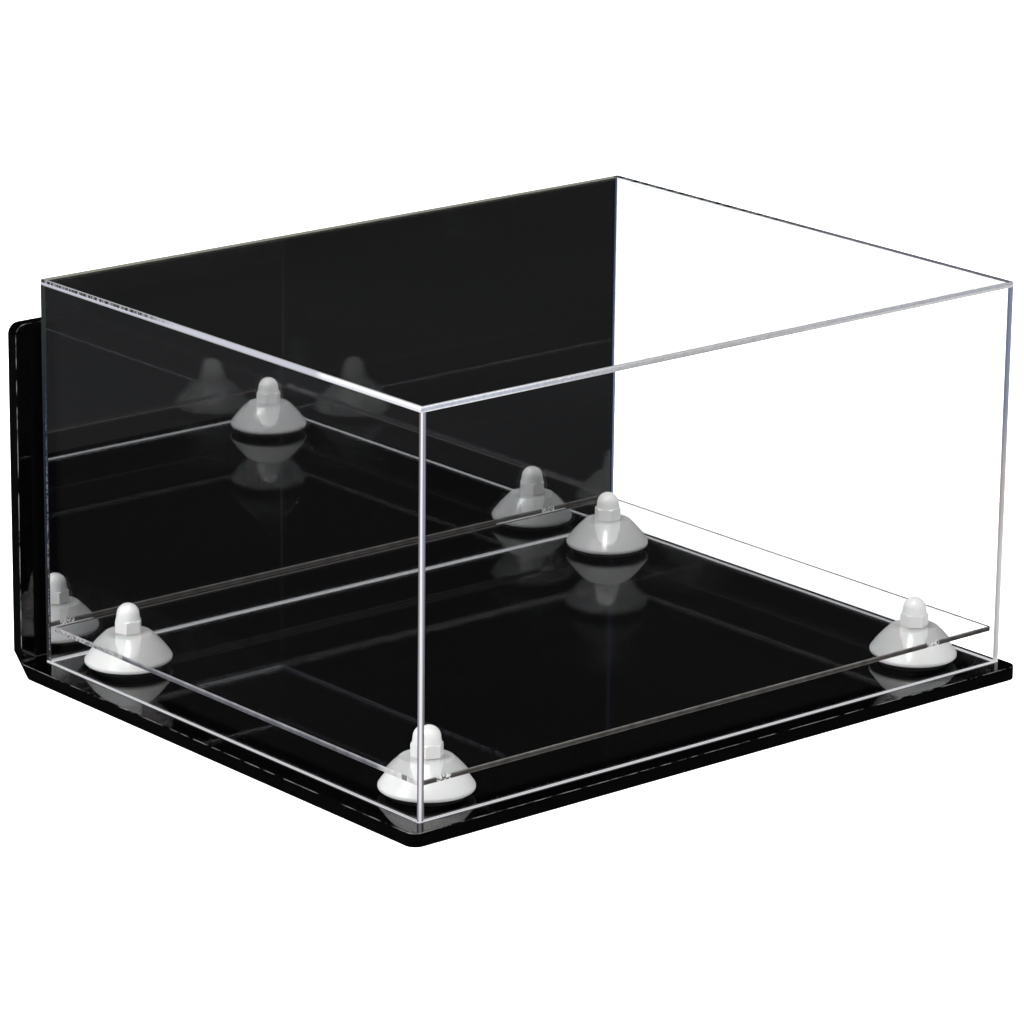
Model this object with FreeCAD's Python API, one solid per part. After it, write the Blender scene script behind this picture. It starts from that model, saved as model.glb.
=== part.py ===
import FreeCAD, Part
import math
import os

# A clear box over a shelf on four risers, on a stand bent from one black sheet that a wall can hold.
# All sizes in mm. +X runs along the width, +Y to the back board, +Z up, and the front faces -Y.
# The origin is at the middle of the stand's outline, on the surface that the stand rests on.

# Stand: one sheet, bent up at the back.
stand_width = 403.2
stand_depth = 327.5
stand_height = 187.0
stand_sheet = 7.3
stand_corner_radius = 6.0
bend_inner_radius = 2.0
bend_outer_radius = 13.0
bend_end_draw_in = 3.0
stand_edge_round = 0.5

# Cover: five clear sheets, the back one silvered. It stands loose on the base, a little off centre.
cover_width = 387.35
cover_depth = 304.8
cover_height = 203.2
cover_sheet = 2.8
cover_corner_radius = 0.8
cover_edge_round = 0.5
cover_centre_x = 4.0
cover_front_margin = 10.5

# Shelf: one clear sheet inside the cover, bolted at its corners.
shelf_width = 379.2
shelf_depth = 296.0
shelf_sheet = 2.7
shelf_corner_radius = 0.5
shelf_edge_chamfer = 0.3
shelf_centre_x = 3.5
shelf_front_margin = 14.2

# Risers: a white bell on a rubber washer, under each corner of the shelf.
riser_spacing_x = 324.0
riser_spacing_y = 241.0
riser_centre_x = 1.8
riser_front_margin = 40.7
bell_rim_radius = 22.6
bell_top_radius = 12.2
bell_height = 13.8
bell_rim_height = 1.8
bell_rim_round = 0.9
bell_shoulder_bulge = 0.5
bell_edge_round = 1.0
washer_radius = 18.5
washer_thickness = 3.2
washer_edge_round = 0.5

# Fasteners: a countersunk M8 bolt from below and a white acorn nut on top of the shelf.
bolt_radius = 4.0
bolt_length = 35.0
bolt_head_radius = 7.7
bolt_socket_flats = 5.0
bolt_socket_depth = 2.4
bolt_head_sink = 0.3
bolt_tip_chamfer = 0.8
hole_radius = 4.25
nut_flats = 12.7
nut_height = 15.0
nut_hex_height = 6.6
nut_corner_round = 0.4
nut_shoulder_inset = 0.3
nut_foot_chamfer = 0.35
nut_dome_foot_radius = 6.25
nut_dome_radius = 5.9
nut_bore_radius = 4.05
nut_bore_depth = 10.0
nut_turns = {"front_left": 38.0, "front_right": 22.0, "back_left": 48.0, "back_right": 5.0}

# Wall mounting: two countersunk screw holes in the back board.
wall_hole_spacing = 203.2
wall_hole_height = 150.0
wall_hole_radius = 2.75
wall_countersink_radius = 5.5

# Places that follow from the sizes above.
front_y = -stand_depth / 2
back_y = stand_depth / 2
base_top = stand_sheet
cover_left = cover_centre_x - cover_width / 2
cover_front = front_y + cover_front_margin
cover_wall_height = cover_height - cover_sheet
shelf_left = shelf_centre_x - shelf_width / 2
shelf_front = front_y + shelf_front_margin
riser_centre_y = front_y + riser_front_margin + riser_spacing_y / 2
bell_bottom = base_top + washer_thickness
shelf_bottom = bell_bottom + bell_height
shelf_top = shelf_bottom + shelf_sheet

X = FreeCAD.Vector(1, 0, 0)
Y = FreeCAD.Vector(0, 1, 0)
Z = FreeCAD.Vector(0, 0, 1)


def point(x, y, z):
    return FreeCAD.Vector(x, y, z)


def line(start, end):
    return Part.LineSegment(start, end).toShape()


def arc(start, middle, end):
    return Part.Arc(start, middle, end).toShape()


def sheet(left, front, bottom, width, depth, height):
    return Part.makeBox(width, depth, height, point(left, front, bottom))


def edges_along(shape, direction, inside):
    """Straight edges along a direction whose middle passes a test."""
    found = []
    for edge in shape.Edges:
        span = edge.Vertexes[-1].Point - edge.Vertexes[0].Point
        if abs(span.dot(direction)) > 0.999 * edge.Length and inside(edge.CenterOfMass):
            found.append(edge)
    return found


def rings_at(shape, height, radius):
    """Closed round edges about +Z at a height and radius."""
    return [edge for edge in shape.Edges if edge.Closed and isinstance(edge.Curve, Part.Circle)
            and abs(edge.CenterOfMass.z - height) < 0.01 and abs(edge.Curve.Radius - radius) < 0.01]


def edges_at_level(shape, level):
    """Edges of a shape that lie in a level plane."""
    return [edge for edge in shape.Edges
            if all(abs(vertex.Point.z - level) < 0.01 for vertex in edge.Vertexes)]


def turned(outline):
    """Solid turned about +Z from a closed outline of edges in the XZ plane."""
    return Part.Face(Part.Wire(outline)).revolve(point(0, 0, 0), Z, 360)


def hexagon(flats, bottom, height):
    """Six-sided prism on +Z."""
    corner_radius = flats / math.sqrt(3)
    corners = []
    for step in range(7):
        angle = math.radians(60 * step)
        corners.append(point(corner_radius * math.cos(angle), corner_radius * math.sin(angle), bottom))
    return Part.Face(Part.makePolygon(corners)).extrude(Z * height)


def countersunk_hole(radius, mouth_radius, length, extra=1.0):
    """Cutter on +Z: a 90 degree countersink with its mouth at z = 0, then a plain hole."""
    cone_depth = mouth_radius - radius
    mouth = Part.makeCone(mouth_radius + extra, radius, cone_depth + extra, point(0, 0, -extra), Z)
    return mouth.fuse(Part.makeCylinder(radius, length + extra, point(0, 0, 0), Z))


def riser_places():
    """Name and centre of the risers under the four corners of the shelf."""
    for row, side_y in (("front", -1), ("back", 1)):
        for column, side_x in (("left", -1), ("right", 1)):
            x = riser_centre_x + side_x * riser_spacing_x / 2
            y = riser_centre_y + side_y * riser_spacing_y / 2
            yield f"{row}_{column}", point(x, y, 0)


def stand_profile():
    """Side outline of the bent sheet, in the YZ plane at its left end."""
    left = -stand_width / 2
    board_front = back_y - stand_sheet
    outer = bend_outer_radius
    inner = bend_inner_radius
    slack = 1 - math.cos(math.pi / 4)
    edges = [
        line(point(left, front_y, 0), point(left, back_y - outer, 0)),
        arc(point(left, back_y - outer, 0), point(left, back_y - outer * slack, outer * slack),
            point(left, back_y, outer)),
        line(point(left, back_y, outer), point(left, back_y, stand_height)),
        line(point(left, back_y, stand_height), point(left, board_front, stand_height)),
        line(point(left, board_front, stand_height), point(left, board_front, base_top + inner)),
        arc(point(left, board_front, base_top + inner),
            point(left, board_front - inner * slack, base_top + inner * slack),
            point(left, board_front - inner, base_top)),
        line(point(left, board_front - inner, base_top), point(left, front_y, base_top)),
        line(point(left, front_y, base_top), point(left, front_y, 0)),
    ]
    return Part.Face(Part.Wire(edges))


def bend_end_cutter(side):
    """Wedge that narrows the outside of the bend, where the hot sheet draws in at its ends."""
    end_x = side * stand_width / 2
    bulge = bend_outer_radius * (1 - math.cos(math.pi / 4))
    reach = 4 * bulge
    draw_in = bend_end_draw_in * reach / bulge
    chord_start = point(end_x, back_y - bend_outer_radius, 0)
    chord = point(0, bend_outer_radius, bend_outer_radius)
    outward = point(0, 1, -1).normalize()
    corners = [chord_start, chord_start + outward * reach,
               chord_start + outward * reach - X * side * draw_in, chord_start]
    return Part.Face(Part.makePolygon(corners)).extrude(chord)


def rim_edges(shape):
    """Edges all round the outline of the bent sheet, on both of its broad faces."""
    rims = []
    for edge in shape.Edges:
        middle = edge.valueAt((edge.FirstParameter + edge.LastParameter) / 2)
        at_end = abs(middle.x) > stand_width / 2 - stand_corner_radius
        at_front = middle.y < front_y + stand_corner_radius
        at_top = middle.z > stand_height - stand_corner_radius
        start, end = (vertex.Point for vertex in (edge.Vertexes[0], edge.Vertexes[-1]))
        across_sheet = abs((end - start).Length - stand_sheet) < 0.01
        if (at_end or at_front or at_top) and not across_sheet:
            rims.append(edge)
    return rims


def stand():
    shape = stand_profile().extrude(X * stand_width)
    front_corners = edges_along(shape, Z, lambda middle: middle.y < front_y + 1)
    shape = shape.makeFillet(stand_corner_radius, front_corners)
    top_corners = edges_along(shape, Y, lambda middle: middle.z > stand_height - 1)
    shape = shape.makeFillet(stand_corner_radius, top_corners)
    shape = shape.makeFillet(stand_edge_round, rim_edges(shape))
    for side in (-1, 1):
        shape = shape.cut(bend_end_cutter(side))
    bolt_hole = countersunk_hole(hole_radius, bolt_head_radius + bolt_head_sink, stand_sheet)
    for _, centre in riser_places():
        shape = shape.cut(bolt_hole.translated(centre))
    wall_hole = countersunk_hole(wall_hole_radius, wall_countersink_radius, stand_sheet)
    wall_hole.rotate(point(0, 0, 0), X, -90)
    for side in (-1, 1):
        place = point(side * wall_hole_spacing / 2, back_y - stand_sheet, wall_hole_height)
        shape = shape.cut(wall_hole.translated(place))
    return shape


def cover_top():
    shape = sheet(cover_left, cover_front, base_top + cover_wall_height, cover_width, cover_depth,
                  cover_sheet)
    shape = shape.makeFillet(cover_corner_radius, edges_along(shape, Z, lambda middle: True))
    return shape.makeFillet(cover_edge_round, edges_at_level(shape, base_top + cover_height))


def cover_side(left, outer_x):
    """Side wall over the full depth, with its two outer upright edges rounded."""
    shape = sheet(left, cover_front, base_top, cover_sheet, cover_depth, cover_wall_height)
    outer_edges = edges_along(shape, Z, lambda middle: abs(middle.x - outer_x) < 0.1)
    return shape.makeFillet(cover_corner_radius, outer_edges)


def cover_between_sides(front):
    """Front or back wall, fitted between the side walls."""
    return sheet(cover_left + cover_sheet, front, base_top, cover_width - 2 * cover_sheet, cover_sheet,
                 cover_wall_height)


def shelf():
    shape = sheet(shelf_left, shelf_front, shelf_bottom, shelf_width, shelf_depth, shelf_sheet)
    shape = shape.makeFillet(shelf_corner_radius, edges_along(shape, Z, lambda middle: True))
    for level in (shelf_bottom, shelf_top):
        shape = shape.makeChamfer(shelf_edge_chamfer, edges_at_level(shape, level))
    for _, centre in riser_places():
        hole = Part.makeCylinder(hole_radius, shelf_sheet, centre + Z * shelf_bottom, Z)
        shape = shape.cut(hole)
    return shape


def riser_bell():
    """Round bell with an upright rim, a bulging shoulder and a flat top, standing on z = 0."""
    rim_edge = point(bell_rim_radius, 0, bell_rim_height)
    top_edge = point(bell_top_radius, 0, bell_height)
    chord = top_edge - rim_edge
    outward = point(chord.z, 0, -chord.x).normalize()
    shoulder = rim_edge + chord * 0.5 + outward * bell_shoulder_bulge
    shape = turned([
        line(point(hole_radius, 0, 0), point(bell_rim_radius, 0, 0)),
        line(point(bell_rim_radius, 0, 0), rim_edge),
        arc(rim_edge, shoulder, top_edge),
        line(top_edge, point(hole_radius, 0, bell_height)),
        line(point(hole_radius, 0, bell_height), point(hole_radius, 0, 0)),
    ])
    shape = shape.makeFillet(bell_rim_round, rings_at(shape, 0, bell_rim_radius))
    shape = shape.makeFillet(bell_edge_round, rings_at(shape, bell_rim_height, bell_rim_radius))
    return shape.makeFillet(bell_edge_round, rings_at(shape, bell_height, bell_top_radius))


def riser_washer():
    shape = Part.makeCylinder(washer_radius, washer_thickness)
    rims = rings_at(shape, 0, washer_radius) + rings_at(shape, washer_thickness, washer_radius)
    shape = shape.makeFillet(washer_edge_round, rims)
    return shape.cut(Part.makeCylinder(hole_radius, washer_thickness))


def acorn_nut():
    """Hexagon with rounded corners and a tapered round dome on top, with a blind bore from below."""
    corner_radius = nut_flats / math.sqrt(3)
    shoulder_radius = nut_flats / 2 - nut_shoulder_inset
    straight = nut_hex_height - (corner_radius - shoulder_radius) * math.tan(math.radians(30))
    envelope = turned([
        line(point(0, 0, 0), point(corner_radius - nut_foot_chamfer, 0, 0)),
        line(point(corner_radius - nut_foot_chamfer, 0, 0), point(corner_radius, 0, nut_foot_chamfer)),
        line(point(corner_radius, 0, nut_foot_chamfer), point(corner_radius, 0, straight)),
        line(point(corner_radius, 0, straight), point(shoulder_radius, 0, nut_hex_height)),
        line(point(shoulder_radius, 0, nut_hex_height), point(0, 0, nut_hex_height)),
        line(point(0, 0, nut_hex_height), point(0, 0, 0)),
    ])
    prism = hexagon(nut_flats, 0, nut_hex_height)
    prism = prism.makeFillet(nut_corner_round, edges_along(prism, Z, lambda middle: True))
    cap_base = nut_height - nut_dome_radius
    slack = nut_dome_radius * math.cos(math.pi / 4)
    shoulder_foot = nut_hex_height - nut_foot_chamfer
    dome = turned([
        line(point(0, 0, shoulder_foot), point(nut_dome_foot_radius, 0, shoulder_foot)),
        line(point(nut_dome_foot_radius, 0, shoulder_foot), point(nut_dome_radius, 0, cap_base)),
        arc(point(nut_dome_radius, 0, cap_base), point(slack, 0, cap_base + slack),
            point(0, 0, nut_height)),
        line(point(0, 0, nut_height), point(0, 0, shoulder_foot)),
    ])
    body = prism.common(envelope).fuse(dome)
    return body.cut(Part.makeCylinder(nut_bore_radius, nut_bore_depth)).removeSplitter()


def bolt():
    """Countersunk bolt with its head at the bottom and its tip up, head face at z = 0."""
    head_height = bolt_head_radius - bolt_radius
    tip = bolt_length
    body = turned([
        line(point(0, 0, 0), point(bolt_head_radius, 0, 0)),
        line(point(bolt_head_radius, 0, 0), point(bolt_radius, 0, head_height)),
        line(point(bolt_radius, 0, head_height), point(bolt_radius, 0, tip - bolt_tip_chamfer)),
        line(point(bolt_radius, 0, tip - bolt_tip_chamfer), point(bolt_radius - bolt_tip_chamfer, 0, tip)),
        line(point(bolt_radius - bolt_tip_chamfer, 0, tip), point(0, 0, tip)),
        line(point(0, 0, tip), point(0, 0, 0)),
    ])
    return body.cut(hexagon(bolt_socket_flats, 0, bolt_socket_depth))


def all_parts():
    """Node name and solid of every piece."""
    yield "stand", stand()
    yield "shelf", shelf()
    yield "cover_top", cover_top()
    yield "cover_left", cover_side(cover_left, cover_left)
    right_sheet = cover_left + cover_width - cover_sheet
    yield "cover_right", cover_side(right_sheet, right_sheet + cover_sheet)
    yield "cover_front", cover_between_sides(cover_front)
    yield "cover_back_mirror", cover_between_sides(cover_front + cover_depth - cover_sheet)
    for place, centre in riser_places():
        yield f"washer_{place}", riser_washer().translated(centre + Z * base_top)
        yield f"riser_{place}", riser_bell().translated(centre + Z * bell_bottom)
        nut = acorn_nut()
        nut.rotate(point(0, 0, 0), Z, nut_turns[place])
        yield f"acorn_nut_{place}", nut.translated(centre + Z * shelf_top)
        yield f"bolt_{place}", bolt().translated(centre + Z * bolt_head_sink)


os.makedirs("parts", exist_ok=True)
for name, solid in all_parts():
    solid.exportStep(os.path.join("parts", name + ".step"))
    box = solid.BoundBox
    spans = ((box.XMin, box.XMax), (box.YMin, box.YMax), (box.ZMin, box.ZMax))
    print(name, "solids", len(solid.Solids), "valid", solid.isValid(), "volume", round(solid.Volume),
          "box", " ".join(f"{low:.2f}..{high:.2f}" for low, high in spans))
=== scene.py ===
import math
from functools import cached_property

import bpy
from mathutils import Matrix, Vector


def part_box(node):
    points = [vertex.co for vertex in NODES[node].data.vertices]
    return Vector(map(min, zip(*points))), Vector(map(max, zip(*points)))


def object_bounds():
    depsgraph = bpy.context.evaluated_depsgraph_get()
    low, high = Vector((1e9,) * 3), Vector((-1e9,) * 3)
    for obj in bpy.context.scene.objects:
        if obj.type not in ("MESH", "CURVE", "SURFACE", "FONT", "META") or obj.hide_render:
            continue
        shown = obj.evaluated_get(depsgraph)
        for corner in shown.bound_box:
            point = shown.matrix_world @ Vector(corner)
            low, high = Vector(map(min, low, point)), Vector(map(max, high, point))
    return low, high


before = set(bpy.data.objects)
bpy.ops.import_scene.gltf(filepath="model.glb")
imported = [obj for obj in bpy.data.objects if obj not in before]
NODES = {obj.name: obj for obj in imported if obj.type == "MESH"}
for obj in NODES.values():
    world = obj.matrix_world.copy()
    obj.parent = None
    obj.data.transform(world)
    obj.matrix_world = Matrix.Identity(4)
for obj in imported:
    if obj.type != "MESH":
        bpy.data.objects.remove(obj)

# Looks of a clear display case on a stand bent from one black sheet. All sizes in metres. Every shape
# comes from the frame: this file gives each piece its material, and makes the studio and the camera.

CAD_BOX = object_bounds()
CLEAR_SHEETS = ("cover_top", "cover_left", "cover_right", "cover_front", "shelf")

# Camera: where it looks from, in degrees and metres, and its long lens in millimetres.
CAMERA_AZIMUTH = -40.29
CAMERA_ELEVATION = 16.77
CAMERA_ROLL = 0.66
CAMERA_DISTANCE = 2.5095
CAMERA_AIM = Vector((-0.0050, -0.0005, 0.0897))
CAMERA_LENS = 172.5
CAMERA_SENSOR = 36.0

# Studio: a lit floor and world, and how dim they are where a polished surface mirrors them.
FLOOR_SIZE = 30.0
FLOOR_ALBEDO = 0.86
FLOOR_GLOW = 1.4
FLOOR_MIRRORED = (0.015, 0.027)
FLOOR_MIRRORED_COLOR = (0.95, 0.96, 1.0, 1.0)
BACK_FLOOR_GLOW = 0.9
BACK_FLOOR_REACH = 0.6
WORLD_STRENGTH = 0.7
WORLD_MIRRORED = 0.006

# Polished acrylic. Its edges get a painted glow, an emission that stands in for the light that the sheet
# carries.
ACRYLIC_IOR = 1.49
ACRYLIC_COLOR = (0.994, 0.997, 0.998)
SOFT_LIGHT_SHARE = 0.96
SHELF_TINT = 0.975
EDGE_GLOW = 0.92
END_LIT = 0.2
SEAM_LIT = 0.1
SEAM_MIRRORED = 0.08

# Places on the sheets: a hair's width, the painted highlight line at the cover's foot, and the width of
# arrises.
SKIN = 0.00005
FOOT_LINE = 0.0005
ARRIS_BAND = 0.0015
ARRIS_ROUND = 0.0005

# Shelf ends: painted glints where a riser is seen through them.
GLINT_NEAR = 0.008
GLINT_FAR = 0.017
GLINT_REACH = 0.024


# ---------------------------------------------------------------- node helpers

class Graph:
    """The node tree of a material or world, with short calls for the nodes that they share."""

    def __init__(self, owner):
        owner.use_nodes = True
        self.owner = owner
        self.tree = owner.node_tree
        self.tree.nodes.clear()

    @cached_property
    def coordinates(self):
        """Place of the surface point on the case at rest."""
        return self.node("ShaderNodeTexCoord").outputs["Object"]

    @cached_property
    def geometry(self):
        return self.node("ShaderNodeNewGeometry").outputs

    @cached_property
    def light_path(self):
        return self.node("ShaderNodeLightPath").outputs

    def node(self, kind, inputs=None, **settings):
        made = self.tree.nodes.new(kind)
        for name, value in settings.items():
            setattr(made, name, value)
        for key, value in (inputs or {}).items():
            self.feed(made.inputs[key], value)
        return made

    def feed(self, socket, value):
        if isinstance(value, bpy.types.NodeSocket):
            self.tree.links.new(value, socket)
        else:
            socket.default_value = value

    def math(self, operation, first, second=0.0):
        return self.node("ShaderNodeMath", {0: first, 1: second}, operation=operation).outputs[0]

    def vector_math(self, operation, first, second=(0.0, 0.0, 0.0)):
        return self.node("ShaderNodeVectorMath", {0: first, 1: second}, operation=operation).outputs[0]

    def split(self, vector):
        return self.node("ShaderNodeSeparateXYZ", {"Vector": vector}).outputs

    def noise(self, scale, detail=3.0, roughness=0.5, vector=None):
        made = self.node("ShaderNodeTexNoise", {
            "Vector": vector or self.coordinates, "Scale": scale, "Detail": detail, "Roughness": roughness})
        return made.outputs["Fac"]

    def noise_along_y(self, scale, detail):
        """Noise that changes along Y only, so that it draws dashes across a line."""
        depth = self.split(self.coordinates)["Y"]
        return self.noise(scale, detail, vector=self.node("ShaderNodeCombineXYZ", {"Y": depth}).outputs[0])

    def remap(self, value, low, high, from_low=0.0, from_high=1.0):
        made = self.node("ShaderNodeMapRange", {
            "Value": value, "From Min": from_low, "From Max": from_high, "To Min": low, "To Max": high})
        return made.outputs["Result"]

    def mix_color(self, share, first, second):
        made = self.node("ShaderNodeMix", {"Factor": share}, data_type="RGBA")
        self.feed(made.inputs["A"], first)
        self.feed(made.inputs["B"], second)
        return made.outputs["Result"]

    def ramp(self, value, stops):
        """Colours at places from 0 to 1, blended between."""
        made = self.node("ShaderNodeValToRGB", {"Fac": value})
        elements = made.color_ramp.elements
        while len(elements) < len(stops):
            elements.new(0.5)
        for element, (place, color) in zip(elements, stops):
            element.position = place
            element.color = (*color, 1.0)
        return made.outputs["Color"]

    def scale_color(self, color, factor):
        made = self.node("ShaderNodeVectorMath", {"Vector": color, "Scale": factor}, operation="SCALE")
        return made.outputs["Vector"]

    def band(self, value, low, high):
        """1 between the two values, 0 outside them."""
        above = self.math("GREATER_THAN", value, low)
        return self.math("MULTIPLY", above, self.math("LESS_THAN", value, high))

    def bump(self, height, strength, distance):
        made = self.node("ShaderNodeBump", {"Strength": strength, "Distance": distance, "Height": height})
        return made.outputs["Normal"]

    def principled(self, inputs):
        return self.node("ShaderNodeBsdfPrincipled", inputs).outputs[0]

    def mix_shader(self, share, first, second):
        return self.node("ShaderNodeMixShader", {0: share, 1: first, 2: second}).outputs[0]

    def finish(self, shader, kind="ShaderNodeOutputMaterial"):
        self.node(kind, {"Surface": shader})
        return self.owner


def material_graph(name):
    return Graph(bpy.data.materials.new(name))


def grey(level, blue=0.0):
    return (level, level, level + blue, 1.0)


def largest_part(graph, vector):
    """Largest of a vector's three components."""
    parts = graph.split(vector)
    return graph.math("MAXIMUM", parts["X"], graph.math("MAXIMUM", parts["Y"], parts["Z"]))


def outward(graph, axis):
    """That component of the face's outward normal, whichever side the ray comes from."""
    side = graph.remap(graph.geometry["Backfacing"], 1.0, -1.0)
    return graph.math("MULTIPLY", graph.split(graph.geometry["True Normal"])[axis], side)


def broad_face_share(graph, axis):
    """1 on the two broad faces of a sheet whose thin way is that axis, 0 on its edges."""
    return graph.math("GREATER_THAN", graph.math("ABSOLUTE", outward(graph, axis)), 0.9)


def inside_box(graph, low, high):
    """1 where the surface point lies in that box, which is grown by a hair."""
    middle = (low + high) / 2
    half = (high - low) / 2 + Vector((SKIN, SKIN, SKIN))
    offset = graph.vector_math("SUBTRACT", graph.coordinates, tuple(middle))
    over = graph.vector_math("SUBTRACT", graph.vector_math("ABSOLUTE", offset), tuple(half))
    return graph.math("LESS_THAN", largest_part(graph, over), 0.0)


def glued_share(graph, neighbours):
    """1 where the sheet is glued to a neighbour."""
    share = 0.0
    for name in neighbours:
        share = graph.math("MAXIMUM", share, inside_box(graph, *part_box(name)))
    return share


def mirrored_share(graph):
    """1 for what polished surfaces show mirrored, 0 for what is seen directly or lights a matt surface."""
    mirrored = graph.math("GREATER_THAN", graph.light_path["Glossy Depth"], 0.5)
    return graph.math("MULTIPLY", mirrored, graph.math("LESS_THAN", graph.light_path["Diffuse Depth"], 0.5))


# ---------------------------------------------------------------- the cover's edges

class CoverTones:
    """Tones of the cover's polished edges and glued seams, by their place on the cover at rest: all painted
    glow, painted highlights and painted reflections.
    """

    def __init__(self, graph):
        self.graph = graph
        self.x, self.y, self.z = graph.split(graph.coordinates)
        self.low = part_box("cover_left")[0]
        self.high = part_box("cover_top")[1]
        self.wall_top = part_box("cover_left")[1].z
        self.sheet = self.high.z - self.wall_top
        self.middle = (self.low + self.high) / 2
        self.right = graph.math("GREATER_THAN", self.x, self.middle.x)
        self.back = graph.math("GREATER_THAN", self.y, self.middle.y)
        self.across_run = self.along(self.x, 0)
        self.depth_run = self.along(self.y, 1)
        self.height_run = self.along(self.z, 2)
        self.up_top_sheet = graph.remap(self.z, 0.0, 1.0, self.wall_top, self.high.z)
        # Noise for painted specks of light and uneven painted glow on the edges.
        self.glow_specks = graph.noise(700.0)

    def along(self, value, axis):
        """0 at the cover's low side along that axis, 1 at its high side."""
        return self.graph.remap(value, 0.0, 1.0, self.low[axis], self.high[axis])

    def at_foot(self):
        """1 on the line where the cover stands."""
        return self.graph.math("LESS_THAN", self.z, self.low.z + FOOT_LINE)

    def front_right_strip(self):
        """Painted glow and reflection: blue-grey at the top, warm in the middle and light at the foot."""
        down = self.graph.ramp(self.height_run, (
            (0.0, (0.85, 0.86, 0.88)), (0.02, (0.58, 0.58, 0.59)), (0.28, (0.60, 0.59, 0.60)),
            (0.40, (0.50, 0.46, 0.45)), (0.52, (0.46, 0.42, 0.42)), (0.68, (0.25, 0.28, 0.36)),
            (1.0, (0.20, 0.24, 0.35))))
        across = self.graph.remap(self.x, 0.70, 1.12, self.high.x - 1.5 * self.sheet, self.high.x)
        return self.graph.scale_color(down, across)

    def front_left_strip(self):
        # Painted glow of the front-left corner: lighter at the foot, darker at the top.
        return self.graph.ramp(self.height_run, (
            (0.0, (0.55, 0.55, 0.60)), (0.5, (0.36, 0.36, 0.44)), (1.0, (0.17, 0.16, 0.19))))

    def back_left_strip(self):
        """Painted dark, with painted specks of light along the glue in its lower part."""
        graph = self.graph
        dark = graph.ramp(self.height_run, (
            (0.0, (0.030, 0.030, 0.032)), (0.6, (0.016, 0.026, 0.040)), (1.0, (0.040, 0.045, 0.040))))
        line = graph.band(self.y, self.high.y - 0.75 * self.sheet, self.high.y - 0.30 * self.sheet)
        light = graph.math("MULTIPLY", line, graph.remap(self.glow_specks, 0.0, 1.0, 0.46, 0.56))
        light = graph.math("MULTIPLY", light, graph.remap(self.height_run, 1.0, 0.0, 0.45, 0.75))
        return graph.mix_color(light, dark, grey(0.22, 0.03))

    def back_right_strip(self):
        # Painted glow of the back-right corner: blue, darker at the top.
        return self.graph.ramp(self.height_run, (
            (0.0, (0.22, 0.27, 0.44)), (0.5, (0.20, 0.25, 0.42)), (1.0, (0.13, 0.16, 0.28))))

    def upright(self, front_left):
        """Painted glow of the four upright corners, with the one at the front left given."""
        graph = self.graph
        front = graph.mix_color(self.right, front_left, self.front_right_strip())
        back = graph.mix_color(self.right, self.back_left_strip(), self.back_right_strip())
        return graph.mix_color(self.back, front, back)

    def top_right_line(self):
        """Painted dark dashes towards the back, and painted slate towards the front."""
        dash = self.graph.remap(self.graph.noise_along_y(240.0, 1.0), 0.0, 1.0, 0.47, 0.53)
        dashed = self.graph.mix_color(dash, (0.012, 0.014, 0.018, 1.0), (0.24, 0.25, 0.27, 1.0))
        share = self.graph.remap(self.y, 0.0, 1.0, self.middle.y - 0.03, self.middle.y + 0.05)
        return self.graph.mix_color(share, (0.21, 0.21, 0.25, 1.0), dashed)

    def seam(self):
        """Painted glow of glued seams, and of ends that are seen from inside the sheet."""
        graph = self.graph
        upright = self.upright(self.front_left_strip())
        upright = graph.scale_color(upright, graph.remap(mirrored_share(graph), 1.0, SEAM_MIRRORED))
        margin = self.sheet + SKIN
        at_right = graph.math("GREATER_THAN", self.x, self.high.x - margin)
        at_back = graph.math("GREATER_THAN", self.y, self.high.y - margin)
        top = graph.mix_color(at_back, grey(0.60, 0.02), (0.42, 0.42, 0.36, 1.0))
        top = graph.mix_color(at_right, top, self.top_right_line())
        at_top = graph.math("GREATER_THAN", self.z, self.wall_top - SKIN)
        # The line at the foot is a painted highlight; the rest is painted glow.
        return graph.mix_color(self.at_foot(), graph.mix_color(at_top, upright, top), grey(0.8, 0.03))

    def top_front_end(self):
        """Front end of the top sheet, painted glow: framed in white by the left corner, two greys by the
        right one.
        """
        graph = self.graph
        left = graph.ramp(self.up_top_sheet, (
            (0.0, (0.80, 0.80, 0.82)), (0.16, (0.78, 0.78, 0.82)), (0.26, (0.42, 0.45, 0.54)),
            (0.70, (0.46, 0.49, 0.58)), (0.80, (0.85, 0.86, 0.90))))
        centre = graph.ramp(self.up_top_sheet, (
            (0.0, (0.10, 0.10, 0.10)), (0.12, (0.30, 0.30, 0.31)), (0.2, (0.44, 0.44, 0.45)),
            (0.60, (0.40, 0.40, 0.41)), (0.85, (0.52, 0.52, 0.53))))
        right = graph.ramp(self.up_top_sheet, (
            (0.0, (0.56, 0.56, 0.55)), (0.40, (0.55, 0.55, 0.55)), (0.52, (0.37, 0.38, 0.43)),
            (0.85, (0.38, 0.39, 0.44)), (1.0, (0.55, 0.55, 0.55))))
        color = graph.mix_color(graph.remap(self.across_run, 0.0, 1.0, 0.12, 0.36), left, centre)
        color = graph.mix_color(graph.remap(self.across_run, 0.0, 1.0, 0.50, 0.80), color, right)
        return graph.scale_color(color, graph.remap(self.glow_specks, 0.88, 1.12, 0.35, 0.65))

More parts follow.
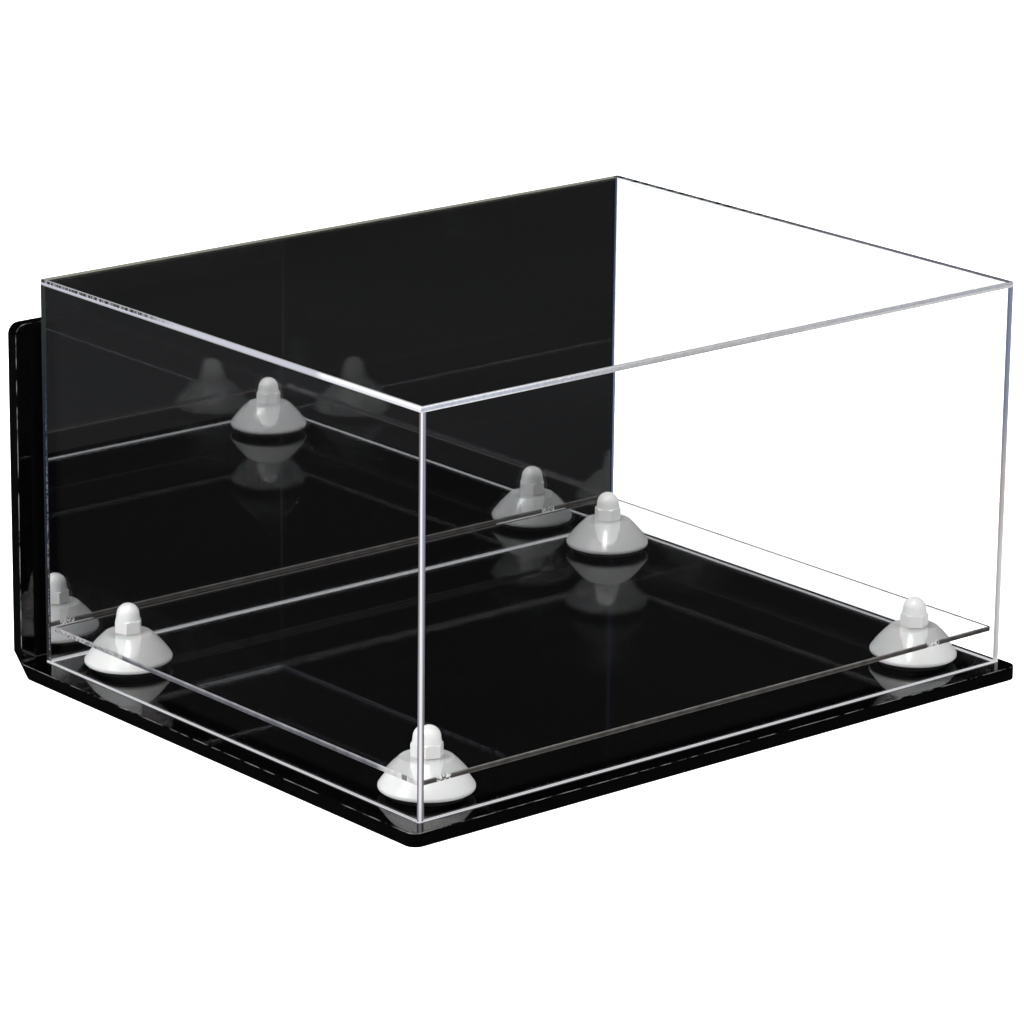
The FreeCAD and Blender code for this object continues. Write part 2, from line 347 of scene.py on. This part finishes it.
    def top_left_end(self):
        """Left end of the top sheet, painted glow: white in its front quarter, then pale, with painted dark
        dashes at the back.
        """
        graph = self.graph
        pale = graph.ramp(self.up_top_sheet, (
            (0.0, (0.22, 0.22, 0.24)), (0.16, (0.46, 0.47, 0.53)), (0.50, (0.53, 0.54, 0.61)),
            (0.80, (0.48, 0.49, 0.57)), (0.92, (0.56, 0.57, 0.64))))
        white = graph.ramp(self.up_top_sheet, (
            (0.0, (0.50, 0.50, 0.56)), (0.15, (0.80, 0.80, 0.82)), (0.35, (0.62, 0.63, 0.72)),
            (0.48, (0.92, 0.92, 0.93)), (1.0, (0.95, 0.95, 0.95))))
        dash = graph.remap(graph.noise_along_y(420.0, 1.0), 0.0, 1.0, 0.46, 0.60)
        dashed = graph.mix_color(dash, grey(0.03), grey(0.34, 0.03))
        upper_half = graph.math("GREATER_THAN", self.up_top_sheet, 0.5)
        far = graph.math("MULTIPLY", graph.remap(self.depth_run, 0.0, 1.0, 0.62, 0.72), upper_half)
        near = graph.remap(self.depth_run, 1.0, 0.0, 0.24, 0.26)
        return graph.mix_color(near, graph.mix_color(far, pale, dashed), white)

    def front_left_end(self):
        """Upright front edge, from its left side round to its front: dim, a painted white highlight at the
        corner, lavender.
        """
        graph = self.graph
        from_left = graph.math("SUBTRACT", self.x, self.low.x)
        from_front = graph.math("SUBTRACT", self.y, self.low.y)
        round_corner = graph.math("SUBTRACT", from_left, from_front)
        across = graph.remap(round_corner, 0.0, 1.0, -ARRIS_BAND, self.sheet)
        upper = graph.ramp(across, (
            (0.0, (0.16, 0.13, 0.12)), (0.24, (0.20, 0.17, 0.17)), (0.32, (0.90, 0.90, 0.92)),
            (0.54, (0.90, 0.90, 0.92)), (0.62, (0.24, 0.24, 0.38)), (0.88, (0.30, 0.29, 0.38)),
            (0.96, (0.06, 0.06, 0.07))))
        lower = graph.ramp(across, (
            (0.0, (0.14, 0.13, 0.14)), (0.22, (0.30, 0.28, 0.29)), (0.30, (0.46, 0.46, 0.62)),
            (0.42, (0.82, 0.82, 0.88)), (0.62, (0.80, 0.80, 0.84)), (0.74, (0.34, 0.32, 0.33)),
            (0.96, (0.06, 0.06, 0.06))))
        return graph.mix_color(graph.remap(self.height_run, 0.0, 1.0, 0.35, 0.75), lower, upper)

    def end(self):
        """Painted glow of ends that are seen from outside."""
        graph = self.graph
        facing = graph.split(graph.vector_math("ABSOLUTE", graph.geometry["True Normal"]))
        sideways = graph.math("GREATER_THAN", facing["X"], facing["Y"])
        top = graph.mix_color(sideways, self.top_front_end(), self.top_left_end())
        at_top = graph.math("GREATER_THAN", self.z, self.wall_top)
        return graph.mix_color(at_top, self.upright(self.front_left_end()), top)


# ---------------------------------------------------------------- materials

def polished_face(graph, tint=1.0):
    """Polished clear face: it bends and mirrors what is seen, and lets soft light straight through."""
    color = tuple(level * tint for level in ACRYLIC_COLOR) + (1.0,)
    bent = graph.node("ShaderNodeBsdfRefraction", {"Color": color, "Roughness": 0.0, "IOR": ACRYLIC_IOR})
    gleam = graph.node("ShaderNodeBsdfGlossy", {"Color": grey(1.0), "Roughness": 0.0})
    share = graph.node("ShaderNodeFresnel", {"IOR": ACRYLIC_IOR}).outputs["Fac"]
    seen = graph.mix_shader(share, bent.outputs[0], gleam.outputs[0])
    straight = graph.node("ShaderNodeBsdfTransparent", {"Color": grey(SOFT_LIGHT_SHARE)}).outputs[0]
    return graph.mix_shader(graph.light_path["Is Diffuse Ray"], seen, straight)


def edge_face(graph, color, lit=END_LIT):
    """Polished edge or seam, with painted glow: an emission stands in for light that the sheet carries; lit
    is the share from outside.
    """
    return graph.principled({
        "Base Color": graph.scale_color(color, lit), "Roughness": 0.22, "IOR": ACRYLIC_IOR,
        "Specular IOR Level": 0.2, "Emission Color": color, "Emission Strength": EDGE_GLOW - lit})


def cover_acrylic(name, axis, neighbours):
    """Clear cover sheet: polished broad faces, ends and seams with painted glow, and a painted highlight
    line where it stands.
    """
    graph = material_graph(name)
    tones = CoverTones(graph)
    seam = edge_face(graph, tones.seam(), SEAM_LIT)
    end = graph.mix_shader(graph.geometry["Backfacing"], edge_face(graph, tones.end()), seam)
    clear = broad_face_share(graph, axis)
    if axis == "X":
        clear = graph.math("MULTIPLY", clear, graph.math("GREATER_THAN", tones.y, tones.low.y + ARRIS_BAND))
    shader = graph.mix_shader(clear, end, polished_face(graph))
    glued = graph.math("MAXIMUM", glued_share(graph, neighbours), tones.at_foot())
    return graph.finish(graph.mix_shader(glued, shader, seam))


def shelf_acrylic():
    """Clear shelf: its ends are painted dark from outside, a painted reflection of the dark stand, with
    painted glints.
    """
    graph = material_graph("shelf_acrylic")
    low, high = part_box("shelf")
    x, y, z = graph.split(graph.coordinates)
    up = graph.remap(z, 0.0, 1.0, low.z, high.z)
    # Painted reflection on the ends: dark, lighter near the broad faces.
    front = graph.ramp(up, (
        (0.0, (0.22, 0.21, 0.20)), (0.14, (0.075, 0.07, 0.065)), (0.45, (0.045, 0.042, 0.04)),
        (0.78, (0.085, 0.078, 0.072)), (0.9, (0.20, 0.19, 0.18))))
    side = graph.ramp(up, (
        (0.0, (0.30, 0.30, 0.33)), (0.2, (0.10, 0.10, 0.12)), (0.6, (0.16, 0.16, 0.18)),
        (0.85, (0.36, 0.36, 0.38))))
    # Painted glints on the front end where each front riser is seen through it.
    glint_streaks = graph.remap(graph.noise(900.0, 2.0), 0.0, 1.0, 0.40, 0.55)
    for corner in ("front_left", "front_right"):
        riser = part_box("riser_" + corner)
        middle = (riser[0].x + riser[1].x) / 2
        patch = graph.band(x, middle - GLINT_FAR, middle - GLINT_NEAR)
        front = graph.mix_color(graph.math("MULTIPLY", patch, glint_streaks), front, grey(0.72))
    # Side end: a painted glint near the front corner with a painted dark line in it, and painted glints past
    # the back riser.
    from_corner = graph.math("SUBTRACT", y, low.y)
    by_corner = graph.remap(from_corner, 1.0, 0.0, GLINT_REACH, GLINT_REACH * 1.3)
    side = graph.mix_color(by_corner, side, grey(0.70))
    side = graph.mix_color(graph.band(from_corner, GLINT_NEAR, GLINT_NEAR * 1.5), side, grey(0.20))
    past_riser = graph.math("GREATER_THAN", y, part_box("riser_back_left")[0].y - GLINT_NEAR)
    side = graph.mix_color(graph.math("MULTIPLY", past_riser, glint_streaks), side, grey(0.50))
    sideways = graph.math("GREATER_THAN", graph.math("ABSOLUTE", outward(graph, "X")), 0.5)
    # Uneven brightness of the painted ends.
    glow_specks = graph.remap(graph.noise(160.0), 0.75, 1.3, 0.3, 0.7)
    outside = graph.scale_color(graph.mix_color(sideways, front, side), glow_specks)
    # Seen from inside, the ends are painted a dark glow.
    color = graph.mix_color(graph.geometry["Backfacing"], outside, (0.10, 0.09, 0.09, 1.0))
    faces = polished_face(graph, SHELF_TINT)
    return graph.finish(graph.mix_shader(broad_face_share(graph, "Z"), edge_face(graph, color), faces))


def mirrored_acrylic():
    """Clear sheet, silvered behind: the silver is seen from the front, grey backing paint from behind."""
    graph = material_graph("mirrored_acrylic")
    tones = CoverTones(graph)
    silver = graph.node("ShaderNodeBsdfGlossy", {"Color": (0.70, 0.705, 0.71, 1.0), "Roughness": 0.0})
    mottle = graph.noise(500.0, 4.0)
    paint = graph.principled({
        "Base Color": graph.mix_color(mottle, grey(0.10), grey(0.15)), "Roughness": 0.5,
        "Normal": graph.bump(mottle, 0.1, 0.0002)})
    back = graph.mix_shader(graph.geometry["Backfacing"], paint, silver.outputs[0])
    # Ends and glued edges get the cover's painted glow.
    seam = edge_face(graph, tones.seam(), SEAM_LIT)
    outward_y = outward(graph, "Y")
    front_or_end = graph.mix_shader(graph.math("LESS_THAN", outward_y, -0.9), seam, polished_face(graph))
    shader = graph.mix_shader(graph.math("GREATER_THAN", outward_y, 0.9), front_or_end, back)
    # Painted highlight line at the foot.
    return graph.finish(graph.mix_shader(tones.at_foot(), shader, seam))


def black_acrylic():
    """Black cast sheet: polished, with very fine wipe marks, and painted highlights in dashes along its sawn
    arrises.
    """
    graph = material_graph("black_acrylic")
    base_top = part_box("cover_left")[0].z
    board_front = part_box("stand")[1].y - base_top
    place = graph.split(graph.coordinates)
    on_base = graph.band(place["Z"], base_top - ARRIS_ROUND, base_top - SKIN)
    on_board = graph.band(place["Y"], board_front + SKIN, board_front + ARRIS_ROUND)
    facing = largest_part(graph, graph.vector_math("ABSOLUTE", graph.geometry["True Normal"]))
    rounded = graph.math("LESS_THAN", facing, 0.97)
    arris = graph.math("MULTIPLY", graph.math("MAXIMUM", on_base, on_board), rounded)
    # Painted highlight dashes on the rounded arrises.
    arris_glints = graph.math("MULTIPLY", arris, graph.remap(graph.noise(110.0), 0.0, 1.0, 0.44, 0.58))
    return graph.finish(graph.principled({
        "Base Color": graph.mix_color(arris_glints, grey(0.0008), grey(0.13)),
        "Roughness": graph.remap(graph.noise(9.0, 4.0, 0.6), 0.01, 0.03, 0.35, 0.7),
        "IOR": ACRYLIC_IOR, "Normal": graph.bump(graph.noise(3.0, 2.0), 0.02, 0.001)}))


def white_plastic():
    """Moulded white nylon: glossy, faintly uneven."""
    graph = material_graph("white_plastic")
    return graph.finish(graph.principled({
        "Base Color": graph.mix_color(graph.noise(60.0), (0.70, 0.70, 0.695, 1.0), (0.76, 0.76, 0.755, 1.0)),
        "Roughness": graph.remap(graph.noise(180.0, 2.0), 0.16, 0.26),
        "IOR": 1.5, "Normal": graph.bump(graph.noise(700.0, 2.0), 0.05, 0.0002),
        "Subsurface Weight": 0.15, "Subsurface Scale": 0.002,
        "Sheen Weight": 0.35, "Sheen Roughness": 0.25}))


def black_rubber():
    graph = material_graph("black_rubber")
    grain = graph.noise(900.0, 4.0, 0.6)
    return graph.finish(graph.principled({
        "Base Color": graph.mix_color(grain, grey(0.010), grey(0.022)), "Roughness": 0.62,
        "Normal": graph.bump(grain, 0.25, 0.0003)}))


def bolt_steel():
    graph = material_graph("bolt_steel")
    turned = graph.noise(300.0)
    return graph.finish(graph.principled({
        "Base Color": (0.42, 0.42, 0.43, 1.0), "Metallic": 1.0,
        "Roughness": graph.remap(turned, 0.22, 0.42), "Normal": graph.bump(turned, 0.1, 0.0002)}))


def nodes_called(*starts):
    return [node for node in NODES if node.startswith(starts)]


def give(node, material):
    for slot in NODES[node].material_slots:
        slot.material = material


def finish_nodes():
    walls = ("cover_front", "cover_back_mirror")
    give("cover_top", cover_acrylic("top_acrylic", "Z", ("cover_left", "cover_right") + walls))
    give("cover_left", cover_acrylic("left_acrylic", "X", ("cover_top",) + walls))
    give("cover_right", cover_acrylic("right_acrylic", "X", ("cover_top",) + walls))
    give("cover_front", cover_acrylic("front_acrylic", "Y", ("cover_top", "cover_left", "cover_right")))
    give("cover_back_mirror", mirrored_acrylic())
    give("shelf", shelf_acrylic())
    give("stand", black_acrylic())
    repeated = ((white_plastic(), ("riser_", "acorn_nut_")), (black_rubber(), ("washer_",)),
                (bolt_steel(), ("bolt_",)))
    for material, starts in repeated:
        for node in nodes_called(*starts):
            give(node, material)
    for node in CLEAR_SHEETS:
        NODES[node].visible_shadow = False


# ---------------------------------------------------------------- studio

def make_floor():
    """Pale floor. It is dark where it is mirrored, except behind the case, for the back of the stand."""
    bpy.ops.mesh.primitive_plane_add(size=FLOOR_SIZE, location=(0, 0, CAD_BOX[0].z))
    floor = bpy.context.object
    floor.name = "studio_floor"
    graph = material_graph("studio_floor")
    shade = graph.mix_color(graph.noise(2.0, 2.0), grey(FLOOR_ALBEDO * 0.99), grey(FLOOR_ALBEDO))
    pale = graph.node("ShaderNodeBsdfDiffuse", {"Color": shade}).outputs[0]
    glow = graph.node("ShaderNodeEmission", {"Color": grey(1.0), "Strength": FLOOR_GLOW}).outputs[0]
    lit = graph.node("ShaderNodeAddShader", {0: pale, 1: glow}).outputs[0]
    low, high = CAD_BOX
    place = graph.split(graph.coordinates)
    behind = graph.remap(place["Y"], 0.0, BACK_FLOOR_GLOW, high.y, high.y + BACK_FLOOR_REACH)
    behind = graph.math("MULTIPLY", behind, graph.remap(place["X"], 0.0, 1.0, low.x, 0.0))
    unlit = graph.remap(graph.noise(1.5, 2.0), *FLOOR_MIRRORED, 0.35, 0.65)
    strength = graph.math("ADD", unlit, behind)
    dark = graph.node("ShaderNodeEmission", {"Color": FLOOR_MIRRORED_COLOR, "Strength": strength})
    floor.data.materials.append(graph.finish(graph.mix_shader(mirrored_share(graph), lit, dark.outputs[0])))


def make_world():
    graph = Graph(bpy.data.worlds.new("studio_world"))
    strength = graph.remap(mirrored_share(graph), WORLD_STRENGTH, WORLD_MIRRORED)
    background = graph.node("ShaderNodeBackground", {"Color": grey(1.0), "Strength": strength})
    bpy.context.scene.world = graph.finish(background.outputs[0], "ShaderNodeOutputWorld")


def direction(azimuth, elevation):
    """Unit vector from the case towards that azimuth and elevation in degrees; azimuth 0 is the front."""
    a, e = math.radians(azimuth), math.radians(elevation)
    return Vector((math.sin(a) * math.cos(e), -math.cos(a) * math.cos(e), math.sin(e)))


def make_softbox(name, azimuth, elevation, distance, size, power):
    """Area light that aims at the middle of the case."""
    light = bpy.data.lights.new(name, "AREA")
    light.shape = "RECTANGLE"
    light.size, light.size_y = size
    light.energy = power
    holder = bpy.data.objects.new(name, light)
    back = direction(azimuth, elevation)
    holder.location = (CAD_BOX[0] + CAD_BOX[1]) / 2 + back * distance
    holder.rotation_mode = "QUATERNION"
    holder.rotation_quaternion = (-back).to_track_quat("-Z", "Y")
    bpy.context.scene.collection.objects.link(holder)
    return holder


def make_lights():
    """Three softboxes for everything, and two lights that fall on the moulded pieces alone."""
    make_softbox("softbox_left", -95, 40, distance=1.2, size=(0.5, 0.7), power=9)
    make_softbox("softbox_right", 40, 45, distance=2.6, size=(0.9, 1.2), power=4)
    overhead = make_softbox("softbox_overhead", 0, 88, distance=2.2, size=(1.6, 1.6), power=15)
    overhead.visible_glossy = False
    overhead.visible_transmission = False
    moulded = bpy.data.collections.new("moulded_pieces")
    for node in nodes_called("riser_", "acorn_nut_"):
        moulded.objects.link(NODES[node])
    gleam = make_softbox("softbox_gleam", -52, 66, distance=2.0, size=(0.2, 0.7), power=30)
    gleam.visible_diffuse = False
    gleam.light_linking.receiver_collection = moulded
    bounce = make_softbox("mirror_bounce", 180, 35, distance=2.0, size=(1.2, 1.2), power=9)
    bounce.visible_camera = False
    bounce.visible_glossy = False
    bounce.visible_transmission = False
    bounce.light_linking.receiver_collection = moulded
    bounce.light_linking.blocker_collection = moulded


def make_camera():
    data = bpy.data.cameras.new("camera")
    data.lens = CAMERA_LENS
    data.sensor_width = CAMERA_SENSOR
    data.clip_start, data.clip_end = 0.05, 100.0
    camera = bpy.data.objects.new("camera", data)
    back = direction(CAMERA_AZIMUTH, CAMERA_ELEVATION)
    look = (-back).to_track_quat("-Z", "Y").to_matrix().to_4x4()
    roll = Matrix.Rotation(math.radians(CAMERA_ROLL), 4, "Z")
    camera.matrix_world = Matrix.Translation(CAMERA_AIM + back * CAMERA_DISTANCE) @ look @ roll
    bpy.context.scene.collection.objects.link(camera)
    bpy.context.scene.camera = camera


def set_view():
    view = bpy.context.scene.view_settings
    view.view_transform = "Standard"
    view.look = "None"
    view.exposure = 0.0


finish_nodes()
make_floor()
make_world()
make_lights()
make_camera()
set_view()
